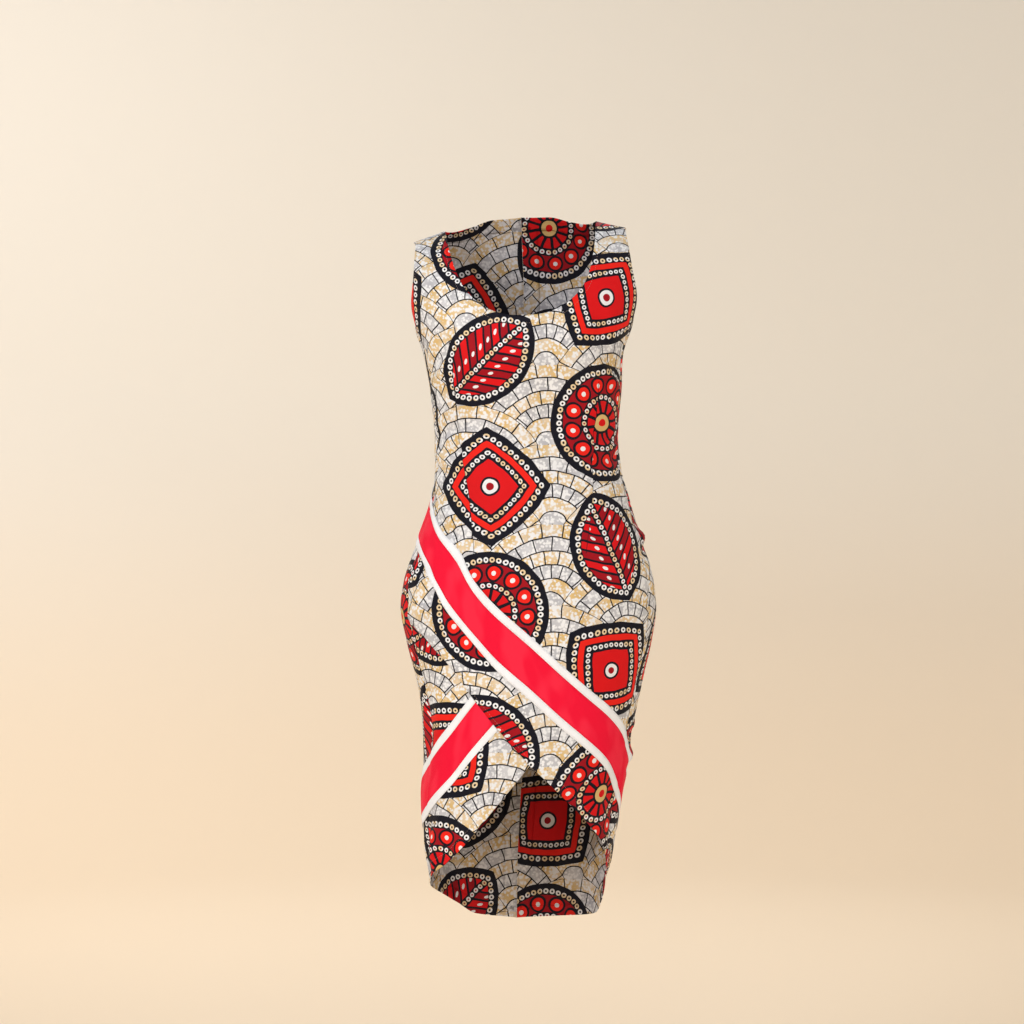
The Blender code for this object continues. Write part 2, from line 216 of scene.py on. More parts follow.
# Creases, listed one by one: where, which way they run in degrees, and their size. A minus depth is
# a ridge
creases = table(
    "angle height heading length width depth",
    (-62, -0.286, 8, 0.060, 0.0090, 0.0022),
    (-55, -0.309, -6, 0.075, 0.0080, 0.0018),
    (-66, -0.338, -14, 0.050, 0.0085, 0.0020),
    (-48, -0.404, -30, 0.055, 0.0075, -0.0020),
    (-41, -0.428, -34, 0.045, 0.0065, 0.0019),
    (-33, -0.445, -48, 0.040, 0.0060, -0.0017),
    (-27, -0.470, -55, 0.035, 0.0060, 0.0015),
    (-58, -0.470, -12, 0.070, 0.0100, 0.0016),
    (-60, -0.520, 6, 0.080, 0.0120, 0.0015),
    (-74, -0.885, 70, 0.050, 0.0110, 0.0035),
    (-58, -0.862, 62, 0.070, 0.0130, -0.0022),
    (-66, -0.700, 76, 0.120, 0.0160, 0.0018),
    (-20, -0.150, 58, 0.060, 0.0110, 0.0010),
    (-52, -0.172, 42, 0.070, 0.0090, 0.0018),
    (-60, -0.205, 30, 0.060, 0.0085, -0.0014),
    (50, -0.178, -44, 0.075, 0.0095, 0.0018),
    (62, -0.214, -28, 0.055, 0.0085, -0.0013),
    (58, -0.292, -10, 0.070, 0.0090, 0.0020),
    (66, -0.322, 8, 0.050, 0.0080, 0.0018),
    (44, -0.330, 4, 0.080, 0.0110, 0.0012),
    (80, -0.432, 10, 0.030, 0.0100, -0.0030),
    (78, -0.455, 6, 0.040, 0.0090, 0.0018),
    (60, -0.520, -8, 0.080, 0.0120, 0.0013),
    (82, -0.716, 4, 0.028, 0.0090, 0.0030),
    (82, -0.742, 2, 0.028, 0.0090, -0.0026),
    (60, -0.800, -74, 0.090, 0.0150, 0.0020),
    (30, -0.760, -68, 0.060, 0.0140, -0.0012),
    (12, -0.260, 86, 0.120, 0.0180, 0.0008),
    (168, -0.300, 4, 0.060, 0.0100, 0.0024),
    (-165, -0.312, -6, 0.070, 0.0095, 0.0022),
    (-150, -0.285, 10, 0.055, 0.0085, 0.0018),
    (150, -0.330, -12, 0.060, 0.0090, 0.0017),
    (134, -0.296, 14, 0.050, 0.0085, 0.0016),
    (-128, -0.322, -16, 0.055, 0.0090, 0.0018),
    (-108, -0.150, 66, 0.060, 0.0100, 0.0016),
    (110, -0.156, -64, 0.055, 0.0100, 0.0016),
    (-140, -0.640, -24, 0.080, 0.0130, 0.0020),
    (142, -0.652, 22, 0.090, 0.0130, 0.0021),
    (-112, -0.610, -38, 0.060, 0.0120, 0.0015),
    (-150, -0.900, 80, 0.110, 0.0170, 0.0026),
    (-122, -0.860, 74, 0.100, 0.0150, -0.0022),
    (150, -0.890, -82, 0.110, 0.0180, 0.0024),
    (118, -0.870, -72, 0.110, 0.0150, 0.0026),
    (98, -0.900, -66, 0.060, 0.0110, -0.0024),
)
creaseShape = {
    "strength": 2.1, "bow": 0.12, "reach": 0.6, "lip": 0.3, "girth": 0.92, "narrowest": 0.75,
    "widens": 0.5,
}
seamDip = {"depth": 0.0009, "reach": 0.0045}


def creased(angle, height, across):
    out, shape = np.zeros_like(height), creaseShape
    girth = read(rings, "halfWidth", height) * shape["girth"]
    for at, level, heading, length, width, depth in zip(*creases.values()):
        aside = np.radians((angle - at + 180) % 360 - 180) * girth
        above = height - level
        turn = math.radians(heading)
        along = aside * math.cos(turn) + above * math.sin(turn)
        over = above * math.cos(turn) - aside * math.sin(turn) - shape["bow"] * along**2 / length
        narrow = width * (shape["narrowest"] + shape["widens"] * fall(along, -length, length))
        ends = np.exp(-((along / length / shape["reach"]) ** 2))
        out -= depth * np.exp(-((over / narrow) ** 2)) * ends
        lip = np.exp(-(((np.abs(over) - 2 * narrow) / narrow) ** 2))
        out += shape["lip"] * depth * lip * ends
    quarter = np.abs(across)
    nearSeam = np.minimum(np.abs(quarter - sheet["width"]), 2 * sheet["width"] - quarter)
    nearSeam = np.minimum(nearSeam, -height)
    dip = seamDip["depth"] * np.exp(-((nearSeam / seamDip["reach"]) ** 2))
    return shape["strength"] * out - dip


def place(across, height, out, lapped):  # points of the flat sheet, moved out from the form
    step = 0.0015
    low, high = height - step, np.minimum(height + step, 0)
    right, left = across + step, across - step
    over = wornForm(angleAt(right, height), height) - wornForm(angleAt(left, height), height)
    up = wornForm(angleAt(across, high), high) - wornForm(angleAt(across, low), low)
    outward = np.cross(over, up)
    outward /= np.linalg.norm(outward, axis=-1, keepdims=True)
    angle = angleAt(across, height)
    rise = out + creased(angle, height, across) + lapLift(angle, height) * lapped
    return wornForm(angle, height) + outward * rise[..., None]


def clothLength(across, height, origin):  # real distances along the cloth from an origin
    shares = np.linspace(0, 1, 25)[:, None]
    startAcross, startHeight = origin
    line = startAcross + (across - startAcross) * shares
    level = np.broadcast_to(height, line.shape)
    sideways = np.diff(wornForm(angleAt(line, level), level), axis=0)
    level = startHeight + (height - startHeight) * shares
    line = np.broadcast_to(across, level.shape)
    upward = np.diff(wornForm(angleAt(line, level), level), axis=0)
    u = np.linalg.norm(sideways, axis=-1).sum(axis=0) * np.sign(across - startAcross)
    v = np.linalg.norm(upward, axis=-1).sum(axis=0) * np.sign(height - startHeight)
    return u, v


# Outlines in angles and heights, anticlockwise as seen from outside
neckline = {  # the middle's angle and depth, and the curve's power
    "reach": 39.5, "front": (0, 0.1512, 2.8), "back": (180, 0.057, 2.2),
}
armhole = {"centre": 89.5, "reach": 26.0, "depth": 0.165, "power": 1.9}


def scoop(centre, reach, depth, power, start, end, steps):
    turn = np.radians(np.linspace(start, end, steps + 1))
    out = np.copysign(np.abs(np.cos(turn)) ** (2 / power), np.cos(turn))
    down = np.maximum(np.sin(turn), 0) ** (2 / power)
    return list(zip(centre + reach * out, np.minimum(-depth * down, sheet["shoulderCut"])))


def neckLine(part, start, end, steps, inset=0.0, wider=0.0):
    centre, depth, power = neckline[part]
    return scoop(centre, neckline["reach"] + wider, depth + inset, power, start, end, steps)


def armholeLine(side, start, end, steps=44, inset=0.0, wider=0.0):
    reach, depth = armhole["reach"] + wider, armhole["depth"] + inset
    line = scoop(armhole["centre"], reach, depth, armhole["power"], start, end, steps)
    return [(side * angle, height) for angle, height in line]


def armholeSplit():  # where the side seam meets the armhole
    share = (armhole["centre"] - sideSeam["angle"][-1]) / armhole["reach"]
    return 180 - math.degrees(math.acos(share ** (armhole["power"] / 2)))


def seamLine(side, top, bottom):
    heights = np.linspace(top, bottom, max(2, round((top - bottom) / 0.01)) + 1)
    if abs(side) == 2:
        return [(90.0 * side, height) for height in heights]
    return [(side * float(read(sideSeam, "angle", height)), height) for height in heights]


def levelAt(rows, angle):
    return float(read(rows, "height", angle))


def edgeLine(rows, start, end, rise=0.0):
    angles = np.linspace(start, end, max(2, round(abs(end - start) / 1.5)) + 1)
    return [(angle, levelAt(rows, angle) + rise) for angle in angles]


def overPanel():
    seam, split = sideSeam["angle"][0], armholeSplit()
    underarm = armholeLine(1, split, 180)[0][1]
    lapStart, corner = levelAt(lapEdge, -seam), rightHem["angle"][0]
    return (
        edgeLine(rightHem, corner, seam)
        + seamLine(1, underarm, levelAt(rightHem, seam))[-2:0:-1]
        + armholeLine(1, split, 180)
        + neckLine("front", 0, 180, 90)
        + armholeLine(-1, 180, split)
        + seamLine(-1, underarm, lapStart)[1:]
        + edgeLine(lapEdge, -seam, corner)[1:-1]
    )


def underPanel():
    seam = sideSeam["angle"][0]
    top = levelAt(lapEdge, -seam) + sheet["lapRise"]
    return (
        edgeLine(leftHem, -seam, sheet["underPanelEnds"])
        + edgeLine(lapEdge, sheet["underPanelEnds"], -seam, sheet["lapRise"])[:-1]
        + seamLine(-1, top, levelAt(leftHem, -seam))[:-1]
    )


def backPanel(side):
    hem = rightHem if side > 0 else leftHem
    seam, split = sideSeam["angle"][0], armholeSplit()
    underarm = armholeLine(1, split, 0)[0][1]
    neck = neckLine("back", 180, 90, 45)
    outline = (
        edgeLine(hem, side * seam, side * 180)
        + seamLine(2 * side, neck[-1][1], levelAt(hem, side * 180))[-2:0:-1]
        + [(side * angle, height) for angle, height in reversed(neck)]
        + armholeLine(side, 0, split)
        + seamLine(side, underarm, levelAt(hem, side * seam))[1:-1]
    )
    return outline if side > 0 else outline[::-1]


def flatPoints(outline, inside):  # on the flat sheet, with the seams' gap taken off
    angles, heights = np.array(outline, float).T
    across = acrossAt(angles, heights)
    gap = sheet["seamGap"] / 2
    if inside:
        across = np.clip(across, gap - sheet["width"], sheet["width"] - gap)
    else:
        atSeam = np.abs(np.abs(across) - sheet["width"]) < 0.0005
        across = np.where(atSeam, np.copysign(sheet["width"] + gap, across), across)
        across = np.clip(across, gap - 2 * sheet["width"], 2 * sheet["width"] - gap)
    points = []
    for point in zip(across, heights):
        if not points or math.dist(points[-1], point) > sheet["tooClose"]:
            points.append(point)
    if math.dist(points[0], points[-1]) < sheet["tooClose"]:
        points.pop()
    return points


# From an outline to worn cloth
def cutAlong(flat, faces, lines, normal):  # halves the lines, so each cut meets few faces
    if not lines or not faces:
        return
    middle = len(lines) // 2
    line = lines[middle]
    verts = {vert for face in faces for vert in face.verts}
    edges = {edge for face in faces for edge in face.edges}
    cut = bmesh.ops.bisect_plane(
        flat,
        geom=list(verts) + list(edges) + faces,
        dist=0.00002,
        plane_co=normal * line,
        plane_no=normal,
    )
    faces = [item for item in cut["geom"] if isinstance(item, bmesh.types.BMFace)]
    low = [face for face in faces if face.calc_center_median().dot(normal) < line]
    high = [face for face in faces if face.calc_center_median().dot(normal) >= line]
    cutAlong(flat, low, lines[:middle], normal)
    cutAlong(flat, high, lines[middle + 1 :], normal)


def cutCells(flat, cell):
    for axis, normal in ((0, Vector((1, 0, 0))), (1, Vector((0, 1, 0)))):
        values = [vert.co[axis] for vert in flat.verts]
        first, last = math.floor(min(values) / cell), math.ceil(max(values) / cell)
        cutAlong(flat, flat.faces[:], [cell * i for i in range(first, last + 1)], normal)


def putInScene(name, data):
    made = bpy.data.objects.new(name, data)
    scene.collection.objects.link(made)
    return made


def markCloth(mesh, u, v):  # metres along and up the cloth, at each corner
    layer = mesh.uv_layers.new(name="cloth")
    layer.data.foreach_set("uv", np.stack([u, v], axis=-1).ravel().astype(np.float32))


def wearPiece(name, flat, out, lapped, thickness, materials, clothUv):
    bmesh.ops.recalc_face_normals(flat, faces=flat.faces)
    flat.faces.ensure_lookup_table()
    if flat.faces[0].normal.z < 0:
        bmesh.ops.reverse_faces(flat, faces=flat.faces)
    mesh = bpy.data.meshes.new(name)
    flat.to_mesh(mesh)
    flat.free()
    points = np.zeros(len(mesh.vertices) * 3, np.float32)
    mesh.vertices.foreach_get("co", points)
    across, height = points.reshape(-1, 3)[:, :2].astype(float).T
    height = np.minimum(height, 0)
    u, v = clothUv(across, height)
    corners = np.zeros(len(mesh.loops), np.int32)
    mesh.loops.foreach_get("vertex_index", corners)
    markCloth(mesh, u[corners], v[corners])
    worked = place(across, height, np.full_like(height, out), lapped)
    mesh.vertices.foreach_set("co", worked.astype(np.float32).ravel())
    mesh.shade_smooth()
    for material in materials:
        mesh.materials.append(material)
    piece = putInScene(name, mesh)
    shell = piece.modifiers.new("clothThickness", "SOLIDIFY")
    shell.thickness = thickness
    shell.offset = 0
    shell.material_offset = len(materials) - 1
    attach(piece, "root")
    return piece


def outlineFace(outline, inside):
    flat = bmesh.new()
    flat.faces.new([flat.verts.new((x, y, 0)) for x, y in flatPoints(outline, inside)])
    flat.faces.ensure_lookup_table()
    flat.normal_update()
    return flat


def tuckInside(flat, outline):  # turned-in cloth stays within its panel at sharp corners
    edge = np.array(outline)
    after = np.roll(edge, -1, axis=0)
    span = after - edge
    points = np.array([vert.co[:2] for vert in flat.verts])[:, None]
    crosses = (edge[:, 1] > points[..., 1]) != (after[:, 1] > points[..., 1])
    rise = np.where(span[:, 1] == 0, 1, span[:, 1])
    meets = edge[:, 0] + (points[..., 1] - edge[:, 1]) * span[:, 0] / rise
    outside = (crosses & (points[..., 0] < meets)).sum(axis=1) % 2 == 0
    share = np.clip(((points - edge) * span).sum(axis=-1) / (span**2).sum(axis=-1), 0, 1)
    nearest = edge + span * share[..., None]
    away = np.linalg.norm(points - nearest, axis=-1)
    best = away.argmin(axis=1)
    flat.verts.index_update()
    lost = []
    for face in flat.faces:
        if all(outside[vert.index] and away[vert.index].min() > 0.00002 for vert in face.verts):
            lost.append(face)
    for vert in flat.verts:
        if outside[vert.index]:
            vert.co.xy = nearest[vert.index, best[vert.index]]
    bmesh.ops.delete(flat, geom=lost, context="FACES")


# Shader maths as plain expressions
def maths(operation):
    return lambda value, *others: value.calc(operation, *others)


class Value:
    __add__ = __radd__ = maths("ADD")
    __sub__ = maths("SUBTRACT")
    __mul__ = __rmul__ = maths("MULTIPLY")
    __truediv__ = maths("DIVIDE")
    __lt__ = maths("LESS_THAN")
    __gt__ = maths("GREATER_THAN")
    __mod__ = maths("FLOORED_MODULO")
    __abs__ = maths("ABSOLUTE")
    part = maths("FRACT")  # what is left over a whole number
    whole = maths("FLOOR")
    atLeast = maths("MAXIMUM")

    def __init__(self, paint, socket):
        self.paint, self.socket = paint, socket

    def calc(self, operation, *others):
        return self.paint.maths(operation, self, *others)

    def __rsub__(self, other):
        return self.paint.maths("SUBTRACT", other, self)

    def ramp(self, low, high):  # a soft step from none to all
        settings = {"interpolation_type": "SMOOTHSTEP"}
        made = self.paint.node("MapRange", settings, {0: self, 1: low, 2: high})
        return Value(self.paint, made.outputs[0])


class Paint:
    def __init__(self, name):
        self.material = bpy.data.materials.new(name)
        self.material.use_nodes = True
        self.nodes = self.material.node_tree.nodes
        self.links = self.material.node_tree.links
        self.surface = self.nodes["Principled BSDF"]

    def node(self, kind, settings, sockets):
        made = self.nodes.new("ShaderNode" + kind)
        for name, value in settings.items():
            setattr(made, name, value)
        for name, value in sockets.items():
            self.feed(made.inputs[name], value)
        return made

    def feed(self, socket, value):
        value = value.socket if isinstance(value, Value) else value
        if isinstance(value, bpy.types.NodeSocket):
            self.links.new(value, socket)
        else:
            socket.default_value = value

    def maths(self, operation, *values):
        made = self.node("Math", {"operation": operation}, dict(enumerate(values)))
        return Value(self, made.outputs[0])

    def mix(self, share, under, over, blend="MIX"):  # one colour laid over another
        under = (*under, 1) if isinstance(under, tuple) else under
        over = (*over, 1) if isinstance(over, tuple) else over
        settings = {"data_type": "RGBA", "blend_type": blend}
        return self.node("Mix", settings, {0: share, 6: under, 7: over}).outputs[2]

    def clothPlace(self):  # metres along and up the cloth
        where = self.node("UVMap", {"uv_map": "cloth"}, {}).outputs[0]
        split = self.node("SeparateXYZ", {}, {0: where}).outputs
        return Value(self, split[0]), Value(self, split[1]), where

    def distance(self, a, b):
        return (a * a + b * b).calc("SQRT")

    def noise(self, where, scale, detail=1.0):
        sockets = {"Vector": where, "Scale": scale, "Detail": detail}
        return Value(self, self.node("TexNoise", {"noise_dimensions": "2D"}, sockets).outputs[0])

    def channels(self, colour):
        split = self.node("SeparateColor", {}, {0: colour}).outputs
        return [Value(self, split[i]) for i in range(3)]


cotton = {
    "thread": 0.0009, "weave": 0.25, "slubScale": 620.0, "slubs": 0.6, "limpScale": 42.0,
    "limp": 5.0, "sewn": 2.2, "relief": 0.0004, "roughness": 0.68, "sheen": 0.03,
    "sheenRoughness": 0.4, "gloss": 0.16,
}


def finishCotton(paint, colour, groove=0.0):  # threads both ways, slubs and a limp hand
    x, y, where = paint.clothPlace()
    warp = (x * (2 * math.pi / cotton["thread"])).calc("SINE")
    weft = (y * (2 * math.pi / cotton["thread"])).calc("SINE")
    relief = warp * weft * cotton["weave"]
    relief = relief + paint.noise(where, cotton["slubScale"]) * cotton["slubs"]
    relief = relief + paint.noise(where, cotton["limpScale"], 2.0) * cotton["limp"]
    relief = relief - groove * cotton["sewn"]
    sockets = {"Strength": 0.5, "Distance": cotton["relief"], "Height": relief}
    bump = paint.node("Bump", {}, sockets)
    paint.feed(paint.surface.inputs["Normal"], bump.outputs[0])
    paint.feed(paint.surface.inputs["Base Color"], colour)
    paint.surface.inputs["Roughness"].default_value = cotton["roughness"]
    paint.surface.inputs["Sheen Weight"].default_value = cotton["sheen"]
    paint.surface.inputs["Sheen Roughness"].default_value = cotton["sheenRoughness"]
    paint.surface.inputs["Specular IOR Level"].default_value = cotton["gloss"]
    return paint.material


# Panels: the print's shift on each in metres, and the flat cut of what shows
panels = {
    "frontOver": {
        "node": "front_over_panel", "outline": overPanel(), "inside": True, "lapped": 1,
        "origin": (0.0, -0.290), "shift": (-0.030, 0.070), "flat": (0.42, 0.96), "area": 0.250,
    },
    "frontUnder": {
        "node": "front_under_panel", "outline": underPanel(), "inside": True, "lapped": 0,
        "origin": (0.0, -0.700), "shift": (1.066, 0.030), "flat": (0.20, 0.36), "area": 0.040,
    },
    "backLeft": {
        "node": "back_left", "outline": backPanel(-1), "inside": False, "lapped": 0,
        "origin": (-0.400, -0.290), "shift": (2.055, 0.085), "flat": (0.27, 1.05), "area": 0.225,
    },
    "backRight": {
        "node": "back_right", "outline": backPanel(1), "inside": False, "lapped": 0,
        "origin": (0.400, -0.290), "shift": (3.050, 0.040), "flat": (0.27, 1.05), "area": 0.225,
    },
}
panelCloth = {
    "out": 0.00085, "thickness": 0.0005, "turningOut": 0.00028, "turningThickness": 0.0004,
    "turningWidth": 0.016,
}

# Darts: panel, middle angle and height, half their length, lean in degrees, half the cloth taken in
darts = (
    ("frontOver", -41, -0.335, 0.122, 7, 0.0060),
    ("frontOver", 41, -0.335, 0.122, -7, 0.0060),
    ("frontOver", -63, -0.196, 0.034, -82, 0.0045),
    ("frontOver", 63, -0.196, 0.034, 82, 0.0045),
    ("backLeft", -146, -0.325, 0.140, 0, 0.0065),
    ("backRight", 146, -0.325, 0.140, 0, 0.0065),
)
# line and the share after it: width and strength of a painted shade line along each dart's seam
dartCloth = {"reach": 0.045, "groove": 0.0028, "line": 0.0005, "shadeLineShare": 0.75}


def onCloth(panel, angle, height):  # where a point of the form lies in a panel's print
    across = acrossAt(np.array([float(angle)]), np.array([height]))
    u, v = clothLength(across, np.array([height]), panel["origin"])
    return float(u[0]) + panel["shift"][0], float(v[0]) + panel["shift"][1]


def sewDart(paint, x, y, dart):  # pulls the print in on both sides of a sewn line
    name, angle, height, half, lean, taken = dart
    middleX, middleY = onCloth(panels[name], angle, height)
    cosine, sine = math.cos(math.radians(lean)), math.sin(math.radians(lean))
    overX, overY = x - middleX, y - middleY
    along = (overY * cosine - overX * sine) / half
    aside = overX * cosine + overY * sine
    closed = (1 - along * along).atLeast(0.0)
    near = (1 - abs(aside) / dartCloth["reach"]).atLeast(0.0)
    pulled = closed * near * aside.calc("SIGN") * taken
    groove = (1 - abs(aside) / dartCloth["groove"]).atLeast(0.0) * (closed > 0.0)
    return x + pulled * cosine, y + pulled * sine, groove


# The wax print: medallions, leaf pods and lozenges in half-drop rows over a ground of scales
dye = {
    "red": (0.72, 0.005, 0.008),
    "brightRed": (0.86, 0.016, 0.008),
    "deepRed": (0.36, 0.003, 0.010),
    "ink": (0.005, 0.005, 0.012),
    "white": (0.86, 0.86, 0.87),
    "ochre": (0.73, 0.50, 0.20),
    "paleOchre": (0.80, 0.62, 0.38),
    "grey": (0.50, 0.50, 0.53),
}
motifs = {"acrossPitch": 0.172, "upPitch": 0.176, "jitter": 0.004, "seed": 0.37}
medallion = {
    "radius": 0.0835, "rimAt": 0.0718, "rimDots": 48, "band": 0.0662, "petalsAt": 0.0540,
    "petals": 12, "petal": 0.0092, "line": 0.0034, "middle": 0.0418, "middleAt": 0.0366,
    "middleDots": 25, "wheel": 0.0308, "spokes": 12, "spoke": 0.0023, "hub": 0.0120,
    "rimDot": 0.0039, "middleDot": 0.0034, "petalDot": 0.0034, "hubEye": 0.0054,
}
leafPod = {
    "halfLength": 0.0835, "halfWidth": 0.0575, "dotsAt": 0.0112, "dotPitch": 0.0092,
    "body": 0.0160, "veinPitch": 0.0150, "seedsAt": 0.0180, "spinePitch": 0.0086,
    "dot": 0.0038, "spineDot": 0.0033, "seed": 0.0029, "spine": 0.0056, "spineEnds": 0.0040,
    "veinLean": 0.75, "veinShare": 0.37,
}
lozenge = {
    "reach": 0.0835, "bulge": 0.0088, "dotsAt": 0.0116, "dotPitch": 0.0092, "frame": 0.0170,
    "inner": 0.0250, "line": 0.0030, "innerDotsAt": 0.0314, "middle": 0.0382, "eye": 0.0102,
    "dot": 0.0038, "innerDot": 0.0033, "pupil": 0.0051,
}
scales = {
    "radius": 0.1140, "rise": 0.0560, "rings": 6, "line": 0.0009, "tiles": 22, "plainRings": 1.98,
}
wax = {  # how the resist breaks up the dye, and how the lines waver
    "bubbleScale": 205.0, "bubbles": 0.62, "smearScale": 95.0, "tintFrom": 0.61, "tintTo": 0.85,
    "patchScale": 38.0, "palest": 0.28, "patches": 1.10, "crackleScale": 150.0,
    "crackleFrom": 0.004, "crackleTo": 0.045, "crackle": 0.42, "waverScale": 36.0,
    "waver": 0.0035, "warmScale": 75.0, "fadeScale": 12.0, "faded": 0.93,
}
dotEye = 0.40  # of a dot


def dotsAlong(along, aside, pitch, radius):  # a row of dots, and their dark eyes
    away = along.paint.distance(((along / pitch).part() - 0.5) * pitch, aside)
    return away < radius, away < radius * dotEye


def evenPitch(length, pitch, start=0.0):  # so that a whole number of dots ends a row
    return length / (round(length / pitch - start) + start)


def dotsRound(turns, away, ringAt, count, radius):
    pitch = 2 * math.pi * ringAt / count
    return dotsAlong(turns * (count * pitch), away - ringAt, pitch, radius)


class Motif:  # builds up one motif's colour from its border inwards
    def __init__(self, paint, dotColour):
        self.paint, self.dotColour, self.colour = paint, dotColour, dye["ink"]

    def lay(self, share, colour):
        self.colour = self.paint.mix(share, self.colour, dye[colour])

    def dots(self, pair, eye="ink"):
        self.colour = self.paint.mix(pair[0], self.colour, self.dotColour)
        self.lay(pair[1], eye)


def paintMedallion(motif, x, y):
    size, away = medallion, motif.paint.distance(x, y)
    turns = y.calc("ARCTAN2", x) / (2 * math.pi)
    motif.dots(dotsRound(turns, away, size["rimAt"], size["rimDots"], size["rimDot"]))
    inBand = away < size["band"]
    motif.lay(inBand, "deepRed")
    pitch = 2 * math.pi * size["petalsAt"] / size["petals"]
    aside = ((turns * size["petals"]).part() - 0.5) * pitch
    petal = motif.paint.distance(aside, away - size["petalsAt"])
    motif.lay((petal < size["petal"] + size["line"]) * inBand, "ink")
    motif.lay((petal < size["petal"]) * inBand, "brightRed")
    motif.lay(petal < size["petalDot"], "white")
    motif.lay(away < size["middle"], "ink")
    middle = dotsRound(turns, away, size["middleAt"], size["middleDots"], size["middleDot"])
    motif.dots(middle, "deepRed")
    inWheel = away < size["wheel"]
    motif.lay(inWheel, "red")
    spoke = abs((turns * size["spokes"]).part() - 0.5) * away * (2 * math.pi / size["spokes"])
    motif.lay((spoke < size["spoke"]) * inWheel, "ink")
    motif.lay(away < size["hub"] + size["line"], "ink")
    motif.lay(away < size["hub"], "ochre")
    motif.lay(away < size["hubEye"], "red")
    return away < size["radius"]


def paintLeafPod(motif, x, y):
    size = leafPod
    curve = (size["halfLength"] ** 2 + size["halfWidth"] ** 2) / (2 * size["halfWidth"])
    halfY = abs(y)
    side = halfY + (curve - size["halfWidth"])
    inward = curve - motif.paint.distance(x, side)
    row = curve - size["dotsAt"]
    pitch = evenPitch(math.acos((curve - size["halfWidth"]) / row) * row, size["dotPitch"], 0.5)
    along = x.calc("ARCTAN2", side) * row
    motif.dots(dotsAlong(along, inward - size["dotsAt"], pitch, size["dot"]))
    body = inward > size["body"]
    vein = (x + halfY * size["veinLean"]) / size["veinPitch"]
    motif.lay(body, "red")
    motif.lay(((vein % 2) > 1.0) * body, "deepRed")
    motif.lay((abs(vein.part() - 0.5) > size["veinShare"]) * body, "ink")
    seedAlong = (vein.part() - 0.5) * size["veinPitch"]
    seeds = motif.paint.distance(seedAlong, halfY - size["seedsAt"])
    motif.lay((seeds < size["seed"]) * body, "white")
    motif.lay((halfY < size["spine"]) * body, "ink")
    tip = math.sqrt((curve - size["body"]) ** 2 - (curve - size["halfWidth"]) ** 2)
    pitch = evenPitch(tip - size["spineEnds"], size["spinePitch"], 0.5)
    spine = dotsAlong(x, y, pitch, size["spineDot"])
    motif.dots([share * body for share in spine], "deepRed")
    return inward > 0.0


def paintLozenge(motif, x, y):
    size, farX, farY = lozenge, abs(x), abs(y)
    half = size["reach"] / math.sqrt(2)  # to the middle of a side, and along it to a corner
    curve = (half**2 + size["bulge"] ** 2) / (2 * size["bulge"])
    aside = (farX - farY) / math.sqrt(2)
    middle = curve - size["bulge"] - half
    outFrom = (farX + farY) / math.sqrt(2) + middle
    inward = curve - motif.paint.distance(aside, outFrom)

    def dotRow(depth, radius):  # with a dot on each corner
        corner = (math.sqrt(2 * (curve - depth) ** 2 - middle**2) - middle) / 2
        pitch = evenPitch(corner, size["dotPitch"])
        return dotsAlong(aside + pitch / 2, inward - depth, pitch, radius)

    motif.dots(dotRow(size["dotsAt"], size["dot"]))
    motif.lay(inward > size["frame"], "brightRed")
    motif.lay(inward > size["inner"], "ink")
    motif.dots(dotRow(size["innerDotsAt"], size["innerDot"]))
    motif.lay(inward > size["middle"], "red")
    away = motif.paint.distance(x, y)
    motif.lay(away < size["eye"] + size["line"], "ink")
    motif.lay(away < size["eye"], "white")
    motif.lay(away < size["pupil"], "deepRed")
    return inward > 0.0


def scaleRow(x, y, row):  # a point's place in the nearest scale of a row
    radius = scales["radius"]
    aside = (x / (2 * radius) + (row % 2) * 0.5).part() - 0.5
    aside, above = aside * (2 * radius), y - row * scales["rise"]
    return aside, above, x.paint.distance(aside, above)


def paintGround(paint, x, y, where):
    row, radius = (y / scales["rise"]).whole(), scales["radius"]
    front, middle, behind = (scaleRow(x, y, row + step) for step in (-1, 0, 1))
    inFront = front[2] < radius
    inMiddle = (middle[2] < radius) * (1 - inFront)
    atBack = 1 - inFront - inMiddle
    aside, above, away = (
        front[i] * inFront + middle[i] * inMiddle + behind[i] * atBack for i in range(3)
    )
    width = radius / scales["rings"]
    ring = (away / width).whole()
    sockets = {"Vector": where, "Scale": wax["bubbleScale"]}
    cells = paint.node("TexVoronoi", {"voronoi_dimensions": "2D"}, sockets)
    bubbles = Value(paint, cells.outputs[0])
    smear = paint.noise(where, wax["smearScale"], 2.0)
    tinted = (bubbles * wax["bubbles"] + smear).ramp(wax["tintFrom"], wax["tintTo"])
    tinted = tinted * (wax["palest"] + paint.noise(where, wax["patchScale"]) * wax["patches"])
    tint = paint.mix((ring % 2) > 0.5, dye["grey"], dye["ochre"])
    colour = paint.mix(tinted, dye["white"], tint)
    crackle = abs(paint.noise(where, wax["crackleScale"], 2.0) - 0.5)
    whole = crackle.ramp(wax["crackleFrom"], wax["crackleTo"])
    cracked = (1 - whole) * smear.ramp(0.42, 0.62)
    colour = paint.mix(cracked * wax["crackle"], colour, dye["grey"])
    edge = abs((away / width).part() - 0.5) > (0.5 - scales["line"] / width)
    turns = aside.calc("ARCTAN2", above) / (2 * math.pi)
    tile = (turns * scales["tiles"] + (ring % 2) * 0.5).part() - 0.5
    across = (0.5 - abs(tile)) * away * (2 * math.pi / scales["tiles"])
    lines = edge.atLeast((across < scales["line"]) * (away > width * scales["plainRings"]))
    return paint.mix(lines, colour, dye["ink"])


